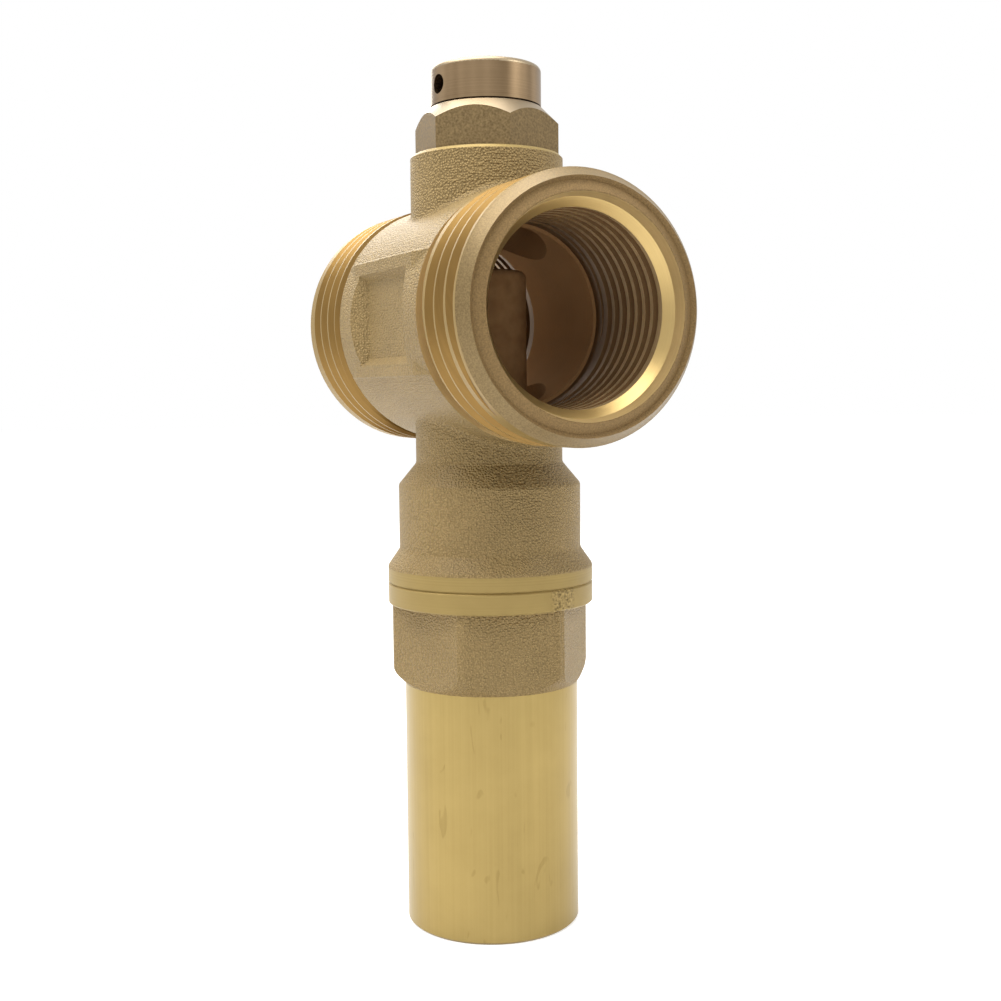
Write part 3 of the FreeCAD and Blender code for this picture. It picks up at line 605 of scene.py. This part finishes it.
def grow(name, tree, values):
    """Run a tree with these input values and return the result as a plain mesh object at the origin."""
    seed = new_object(name + "_seed", bpy.data.meshes.new(name + "_seed"))
    modifier = seed.modifiers.new("grow", "NODES")
    modifier.node_group = tree
    for item in tree.interface.items_tree:
        if item.in_out == "INPUT":
            modifier[item.identifier] = values[item.name]
    mesh = applied_mesh(seed, modifier)
    bpy.data.objects.remove(seed)
    mesh.name = name
    return new_object(name, mesh)


print("helpers for Geometry Nodes ready")

# %% [markdown]
# ## Screw threads
# Both ports carry a male and a female pipe thread. A thread could be faked with rings or bump, but the
# photograph shows sharp crests against the light, so it is cut for real: a Geometry Nodes tree sweeps the
# tool's trapezoid along a helix, and the sweep is taken away from a copy of the body. At both ends the
# helix leaves the wall, as a lathe tool does when it backs out.

# %% Thread cutter tree
THREAD_POINTS_PER_TURN = 96
PROFILE_TURN = -math.pi / 2
LEVEL_PART = (1, 1, 0)

cutter_tree, given = new_tree("thread_cutter", [
    "Radius", "Pitch", "Turns", "Depth", "Outer Width", "Inner Width", "Retreat", "Fade"])


def vector_node(operation, inputs):
    """Output of a Vector Math node in the cutter tree."""
    return add(cutter_tree, "ShaderNodeVectorMath", inputs, operation=operation).outputs[0]


helix = add(cutter_tree, "GeometryNodeCurveSpiral", {
    "Resolution": THREAD_POINTS_PER_TURN, "Rotations": given["Turns"],
    "Start Radius": given["Radius"], "End Radius": given["Radius"],
    "Height": math_node(cutter_tree, "MULTIPLY", given["Pitch"], given["Turns"]), "Reverse": True})

along_helix = add(cutter_tree, "GeometryNodeSplineParameter").outputs["Factor"]
turn = math_node(cutter_tree, "MULTIPLY", along_helix, given["Turns"])
from_end = math_node(cutter_tree, "MINIMUM", turn, math_node(cutter_tree, "SUBTRACT", given["Turns"], turn))
faded = math_node(cutter_tree, "DIVIDE", from_end, given["Fade"])
lift = math_node(cutter_tree, "SUBTRACT", 1.0, faded, clamp=True)
retreat = math_node(cutter_tree, "MULTIPLY", lift, given["Retreat"])
position = add(cutter_tree, "GeometryNodeInputPosition").outputs[0]
outward = vector_node("NORMALIZE", {0: vector_node("MULTIPLY", {0: position, 1: LEVEL_PART})})
shift = vector_node("SCALE", {0: outward, "Scale": retreat})
moved = add(cutter_tree, "GeometryNodeSetPosition", {"Geometry": helix.outputs[0], "Offset": shift})
path = add(cutter_tree, "GeometryNodeSetCurveNormal", {"Curve": moved.outputs[0]}, mode="Z_UP")

trapezoid = add(cutter_tree, "GeometryNodeCurvePrimitiveQuadrilateral", {
    "Bottom Width": given["Inner Width"], "Top Width": given["Outer Width"], "Offset": 0.0,
    "Height": given["Depth"]}, mode="TRAPEZOID")
tool = add(cutter_tree, "GeometryNodeTransform", {
    "Geometry": trapezoid.outputs[0], "Rotation": (0, 0, PROFILE_TURN)})
sweep = add(cutter_tree, "GeometryNodeCurveToMesh", {
    "Curve": path.outputs[0], "Profile Curve": tool.outputs[0], "Fill Caps": True})
close_tree(cutter_tree, sweep.outputs[0], given["Material"])
print("cutter tree with", len(cutter_tree.nodes), "nodes")

# %% [markdown]
# ## Tools for the four threads
# The male pitch comes from the three crests in the photograph, and the inner thread has 14 turns to the
# inch as on the standard pipe thread of that size. The tool stands a little proud of the wall that it
# enters, so that no face of the tool lies in a face of the body. The rear port repeats the front one
# after half a turn.

# %% Thread cutters
INCH = 25.4 * MM
TURNS_PER_INCH = 14
TOOL_PROUD = 0.25 * MM
RETREAT_IN_DEPTHS = 1.3
NOSE_GROOVE = 0.85 * MM
STOP_GROOVE = 1.3 * MM
MALE = {
    "pitch": 2.9 * MM, "depth": 1.2 * MM, "root_flat": 0.7 * MM, "land": 0.4 * MM,
    "turns": 3.5, "fade": 0.3,
}
FEMALE = {
    "pitch": INCH / TURNS_PER_INCH, "depth": 0.9 * MM, "root_flat": 0.3 * MM, "land": 0.7 * MM,
    "turns": 8.0, "fade": 0.5,
}


def groove_cutter(name, crest, thread, start, turn, outside):
    """Swept tool for one thread on the pipe's axis; start and turn place its first point."""
    root = crest - thread["depth"] if outside else crest + thread["depth"]
    mouth = crest + TOOL_PROUD if outside else crest - TOOL_PROUD
    flare = (thread["pitch"] - thread["land"] - thread["root_flat"]) / thread["depth"]
    wide = thread["root_flat"] + flare * abs(mouth - root)
    cutter = grow(name, cutter_tree, {
        "Radius": (root + mouth) / 2,
        "Pitch": thread["pitch"],
        "Turns": thread["turns"],
        "Depth": abs(mouth - root),
        "Outer Width": wide if outside else thread["root_flat"],
        "Inner Width": thread["root_flat"] if outside else wide,
        "Retreat": (mouth - root) * RETREAT_IN_DEPTHS,
        "Fade": thread["fade"],
        "Material": thread_brass,
    })
    onto_pipe = Matrix.Translation((start, 0, pipe_axis)) @ Matrix.Rotation(math.pi / 2, 4, "Y")
    cutter.data.transform(onto_pipe @ Matrix.Rotation(turn, 4, "Z"))
    return cutter


male_start = male_last - NOSE_GROOVE - MALE["turns"] * MALE["pitch"]
female_start = female_first + STOP_GROOVE
cutters = [
    groove_cutter("male_cutter", male_crest, MALE, male_start, math.pi, outside=True),
    groove_cutter("female_cutter", female_crest, FEMALE, female_start, 0.0, outside=False),
]
half_turn = Matrix.Rotation(math.pi, 4, "Z")
for cutter in list(cutters):
    mesh = cutter.data.copy()
    mesh.transform(half_turn)
    cutters.append(new_object(cutter.name + "_rear", mesh))
for cutter in cutters:
    reach = [math.hypot(corner.co.y, corner.co.z - pipe_axis) for corner in cutter.data.vertices]
    print(cutter.name, len(cutter.data.polygons), "faces, radius", in_mm([min(reach), max(reach)]), "mm")

# %% [markdown]
# ## Dressing a copy of a solid
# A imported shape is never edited, so a piece that needs cuts or several finishes is a copy that stands for
# it. The copy is welded first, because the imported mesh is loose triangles. Each face then picks its
# finish from where it lies, as a machinist would mark which faces of a casting get turned.

# %% Helpers for dressed copies
WELD = 0.0005 * MM
SHARP = math.radians(24)
LARGE_FACES_LEAD = 100


def welded_copy(node):
    """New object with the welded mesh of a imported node."""
    shape = bmesh.new()
    shape.from_mesh(nodes[node].data)
    bmesh.ops.remove_doubles(shape, verts=shape.verts, dist=WELD)
    mesh = bpy.data.meshes.new(node + "_dressed")
    shape.to_mesh(mesh)
    shape.free()
    for stored in [layer for layer in mesh.attributes if layer.name == "custom_normal"]:
        mesh.attributes.remove(stored)
    return new_object(node + "_dressed", mesh)


def dress(piece, node, finishes, choose):
    """Let a piece stand for its node, each face in the finish that choose gives for its middle and normal."""
    mesh = piece.data
    mesh.materials.clear()
    for finish in finishes:
        mesh.materials.append(finish)
    for face in mesh.polygons:
        face.material_index = finishes.index(choose(face.center, face.normal))
        face.use_smooth = True
    mesh.set_sharp_from_angle(angle=SHARP)
    modifier = piece.modifiers.new("shading", "WEIGHTED_NORMAL")
    modifier.keep_sharp = True
    modifier.weight = LARGE_FACES_LEAD
    piece.data = applied_mesh(piece, modifier)
    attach(piece, nodes[node]["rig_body"])
    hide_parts(node)
    print(piece.name, len(mesh.polygons), "faces in", len(finishes), "finishes")


print("faces that meet at more than", round(math.degrees(SHARP)), "degrees stay sharp")

# %% [markdown]
# ## The noses of the pipe
# Each end of the pipe has a bevel and then a nearly flat ring round the mouth, which the solid draws as
# one cone. A bevel modifier would round every other edge too. It is simpler to slit the cone in one plane
# and to push the new corners out to where the bevel meets the ring.

# %% Bevelled noses
NOSE_START = male_last + 0.05 * MM
NOSE_SPLIT = pipe_end - 0.9 * MM
FACE_EDGE = pipe_end - 0.25 * MM
FACE_RADIUS = 15.45 * MM
MOUTH_RADIUS = 13.54 * MM


def spoke(point):
    """Vector from the pipe's axis to a point, square to the axis."""
    return Vector((0, point.y, point.z - pipe_axis))


def on_nose(point, side):
    """True on the cone at one end of the pipe, outside its mouth."""
    return side * point.x > NOSE_START and spoke(point).length > MOUTH_RADIUS


def bevel_noses(piece):
    """Split the cone at each end of the pipe into a bevel and a nearly flat face."""
    shape = bmesh.new()
    shape.from_mesh(piece.data)
    for side in (-1, 1):
        cone = [face for face in shape.faces if on_nose(face.calc_center_median(), side)]
        edges = {edge for face in cone for edge in face.edges}
        corners = {corner for face in cone for corner in face.verts}
        cut = bmesh.ops.bisect_plane(
            shape, geom=[*cone, *edges, *corners], dist=WELD,
            plane_co=(side * NOSE_SPLIT, 0, 0), plane_no=(side, 0, 0))
        for corner in cut["geom_cut"]:
            if isinstance(corner, bmesh.types.BMVert):
                outward = spoke(corner.co).normalized() * FACE_RADIUS
                corner.co = Vector((side * FACE_EDGE, outward.y, pipe_axis + outward.z))
    shape.to_mesh(piece.data)
    shape.free()


body = welded_copy("valve_body")
bevel_noses(body)
print(body.name, len(body.data.polygons), "faces with bevelled noses")

# %% [markdown]
# ## Cutting the threads
# The four tools are now taken away from the body one by one. A Boolean modifier does this as the lathe
# does, and the exact solver keeps the thin crests whole.


# %% Cut threads
def cut_away(piece, cutter):
    """Subtract a cutter from a piece and remove the cutter."""
    modifier = piece.modifiers.new("cut", "BOOLEAN")
    modifier.operation = "DIFFERENCE"
    modifier.solver = "EXACT"
    modifier.object = cutter
    piece.data = applied_mesh(piece, modifier)
    bpy.data.objects.remove(cutter)


for cutter in cutters:
    cut_away(body, cutter)
print(body.name, len(body.data.polygons), "faces with threads")

# %% [markdown]
# ## Finishes of the body
# On the real casting only some faces are machined: the ports inside and out, the bores, the flange band
# and the edge of the neck. Painting a mask would need a flat map of the whole body. The sizes of the
# valve already tell the faces apart, by how far they lie along the pipe and from the two axes.

# %% Body finishes
ON_CREST = 0.05 * MM
RELIEF_START = male_first - 1.52 * MM
RELIEF_FLANK = 0.8 * MM
CONE_START = pipe_end - 1.52 * MM
NECK_BORES = 9.3 * MM
BARREL_BORE = 10.45 * MM
BARREL_BORE_TOP = parting + 12 * MM
BAND_TOP = parting + 1.9 * MM
BAND_RADIUS = 13.6 * MM
NECK_EDGE = neck_top - 0.42 * MM
BODY_FINISHES = [
    cast_brass, thread_brass, crest_brass, bevel_brass, ring_brass, rim_brass, mouth_brass, bore_brass,
    bore_crest, deep_brass, band_brass,
]


def port_inside(along, from_pipe):
    """Finish of a face within the mouth of a port."""
    if along > female_last:
        return rim_brass if along > CONE_START else mouth_brass
    if along < female_first:
        return deep_brass
    return bore_crest if from_pipe < female_crest + ON_CREST else bore_brass


def port_outside(along, from_pipe):
    """Finish of a face on the nose, the male thread or the relief behind it."""
    if along > NOSE_START:
        return ring_brass if from_pipe < FACE_RADIUS else bevel_brass
    if along < male_first - RELIEF_FLANK:
        return rim_brass
    return crest_brass if from_pipe > male_crest - ON_CREST else thread_brass


def body_finish(middle, normal):
    """Finish of a face of the body."""
    along = abs(middle.x)
    from_pipe = math.hypot(middle.y, middle.z - pipe_axis)
    from_axis = math.hypot(middle.x, middle.y)
    if from_pipe < MOUTH_RADIUS:
        return port_inside(along, from_pipe)
    if along > RELIEF_START and from_pipe < male_crest + ON_CREST:
        return port_outside(along, from_pipe)
    if from_axis < NECK_BORES or (from_axis < BARREL_BORE and middle.z < BARREL_BORE_TOP):
        return deep_brass
    if middle.z > NECK_EDGE or (middle.z < BAND_TOP and from_axis > BAND_RADIUS):
        return band_brass
    return cast_brass


dress(body, "valve_body", BODY_FINISHES, body_finish)

# %% [markdown]
# ## The rough patch on the housing's band
# On one side the lathe tool missed a shallow spot of the band, and the cast skin still shows there. It
# could be a face of its own with a hard edge, but the real one runs out softly. So the finish works out
# the angle round the valve's axis, frays it with noise and fades from the turned band into the rough
# skin.

# %% Rough patch
ROUGH_PATCH = (math.radians(3), math.radians(31))
PATCH_TONES = ((0.12, 0.08, 0.026, 1), (0.46, 0.33, 0.125, 1))
PATCH_FADE = math.radians(4)
PATCH_FRAY = 0.16
FRAYS_PER_METRE = 1500.0
PATCH_GRAIN_PER_METRE = 2900.0
PATCH_DEPTH = 0.08 * MM

patch_brass, tree, spot = new_finish("patch_brass")
axis = add(tree, "ShaderNodeSeparateXYZ", {0: spot}).outputs
fray = noise(tree, spot, scale=FRAYS_PER_METRE, detail=2.0)
fray = math_node(tree, "SUBTRACT", fray, NOISE_MIDDLE)
around = math_node(tree, "ARCTAN2", axis["Y"], axis["X"])
angle = math_node(tree, "MULTIPLY_ADD", fray, PATCH_FRAY, around)
first, last = ROUGH_PATCH
rising = stretch(tree, angle, first + PATCH_FADE, first + 2 * PATCH_FADE)
falling = stretch(tree, angle, last - PATCH_FADE, last - 2 * PATCH_FADE)
inside = math_node(tree, "MULTIPLY", rising, falling)
grain = stretch(tree, noise(tree, spot, scale=PATCH_GRAIN_PER_METRE, detail=2.0), *NOISE_SPAN)
cloud = noise(tree, spot, scale=CLOUDS_PER_METRE, detail=4.0)
turned_skin = colour_mix(tree, cloud, *BAND_TONES)
rough_skin = colour_mix(tree, grain, *PATCH_TONES)
colour = colour_mix(tree, inside, turned_skin, rough_skin)
normal = bump_map(tree, math_node(tree, "MULTIPLY", grain, inside), strength=0.5, depth=PATCH_DEPTH)
metal(tree, colour, between(tree, grain, *BAND_ROUGHNESS), normal, **MATTE_SKIN)
print("finish:", patch_brass.name)

# %% [markdown]
# ## Lower housing
# The housing is cast like the body. Its hexagon keeps the cast skin, and its band, its spigot and its
# bores are turned. The level of the band's foot and two radii are enough to tell these faces apart.

# %% Housing
HOUSING_BAND_FOOT = parting - 2.86 * MM
HOUSING_BORES = 10.4 * MM


def housing_finish(middle, normal):
    """Finish of a face of the housing."""
    from_axis = math.hypot(middle.x, middle.y)
    if middle.z < HOUSING_BAND_FOOT and from_axis > HOUSING_BORES:
        return cast_brass
    rough = ROUGH_PATCH[0] < math.atan2(middle.y, middle.x) < ROUGH_PATCH[1]
    return patch_brass if rough and middle.z < parting and from_axis > BAND_RADIUS else band_brass


dress(welded_copy("lower_housing"), "lower_housing", [cast_brass, band_brass, patch_brass], housing_finish)

# %% [markdown]
# ## Plug and cap of the vacuum breaker
# The plug is turned from hexagon bar, so its flats keep the dull skin of the bar, and the faces that lean
# are cut bright. The cap is turned all over, with a polished round edge at the top. Here it is the lean
# of a face, and not its place alone, that tells which finish it has.

# %% Plug and cap
PLUG_BAR = 6.5 * MM
CAP_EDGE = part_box("breaker_cap")[1].z - 0.9 * MM
LEANS = 0.05
FACES_UP = 0.97


def plug_finish(middle, normal):
    """Flats keep the skin of the bar, the rest is turned."""
    if middle.z < neck_top or math.hypot(middle.x, middle.y) < PLUG_BAR:
        return cap_brass
    return flat_brass if abs(normal.z) < LEANS else crown_brass


def cap_finish(middle, normal):
    """The rounded edge at the top is polished, the rest shows the tool."""
    return crown_brass if middle.z > CAP_EDGE and LEANS < normal.z < FACES_UP else cap_brass


dress(welded_copy("breaker_plug"), "breaker_plug", [flat_brass, cap_brass, crown_brass], plug_finish)
dress(welded_copy("breaker_cap"), "breaker_cap", [cap_brass, crown_brass], cap_finish)

# %% [markdown]
# ## Springs
# Three coil springs work inside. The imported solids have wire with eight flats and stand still, so here
# each is wound again from round wire with a second Geometry Nodes tree. One end belongs to the body and
# the other to the piece that it pushes, so the coil is blended between the two and stretches when the
# piece slides.

# %% Spring tree
COIL_POINTS_PER_TURN = 48
WIRE_SIDES = 14

spring_tree, given = new_tree("coil_spring", ["Coil Radius", "Wire Radius", "Turns", "Height"])
helix = add(spring_tree, "GeometryNodeCurveSpiral", {
    "Resolution": COIL_POINTS_PER_TURN, "Rotations": given["Turns"],
    "Start Radius": given["Coil Radius"], "End Radius": given["Coil Radius"],
    "Height": given["Height"], "Reverse": True})
wire = add(spring_tree, "GeometryNodeCurvePrimitiveCircle", {
    "Resolution": WIRE_SIDES, "Radius": given["Wire Radius"]})
sweep = add(spring_tree, "GeometryNodeCurveToMesh", {
    "Curve": helix.outputs[0], "Profile Curve": wire.outputs[0], "Fill Caps": True})
close_tree(spring_tree, sweep.outputs[0], given["Material"])
print("spring tree with", len(spring_tree.nodes), "nodes")

# %% Wound springs
SPRINGS = {
    "return_spring": {"wire": 1.1 * MM, "turns": 4.0, "mover": "shutter", "mover_on_top": True},
    "overtravel_spring": {"wire": 1.0 * MM, "turns": 3.5, "mover": "capsule", "mover_on_top": False},
    "breaker_spring": {"wire": 0.6 * MM, "turns": 4.5, "mover": "poppet", "mover_on_top": True},
}

for node, spring in SPRINGS.items():
    low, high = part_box(node)
    coil = grow(node + "_wound", spring_tree, {
        "Coil Radius": (high.y - low.y - spring["wire"]) / 2,
        "Wire Radius": spring["wire"] / 2,
        "Turns": spring["turns"],
        "Height": high.z - low.z - spring["wire"],
        "Material": spring_steel,
    })
    coil.data.transform(Matrix.Translation((0, 0, low.z + spring["wire"] / 2)))
    coil.data.shade_smooth()
    ends = [Vector((0, 0, low.z)), Vector((0, 0, high.z))]
    if not spring["mover_on_top"]:
        ends.reverse()
    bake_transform(coil, "valve", spring["mover"], start=ends[0], end=ends[1])
    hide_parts(node)
    print(coil.name, len(coil.data.polygons), "faces")

# %% [markdown]
# ## Finishes for the other solids
# The remaining solids already have their true shape and need one finish each. A copy would add nothing,
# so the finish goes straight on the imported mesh.

# %% Finishes
FINISHES = {
    tube_brass: ["drain_tube"],
    cap_brass: ["breaker_poppet", "shutter", "capsule_guide", "capsule_carrier"],
    capsule_copper: ["wax_capsule"],
    seal_rubber: ["housing_o_ring", "shutter_seal", "breaker_poppet_seal", "breaker_gasket"],
    spring_steel: [
        "overtravel_clip", "piston_rod", "seal_screw", "breaker_spring_plate", "breaker_stem_clip",
    ],
}
for finish, names in FINISHES.items():
    for name in names:
        nodes[name].data.materials.clear()
        nodes[name].data.materials.append(finish)
    print(finish.name, "on", ", ".join(names))
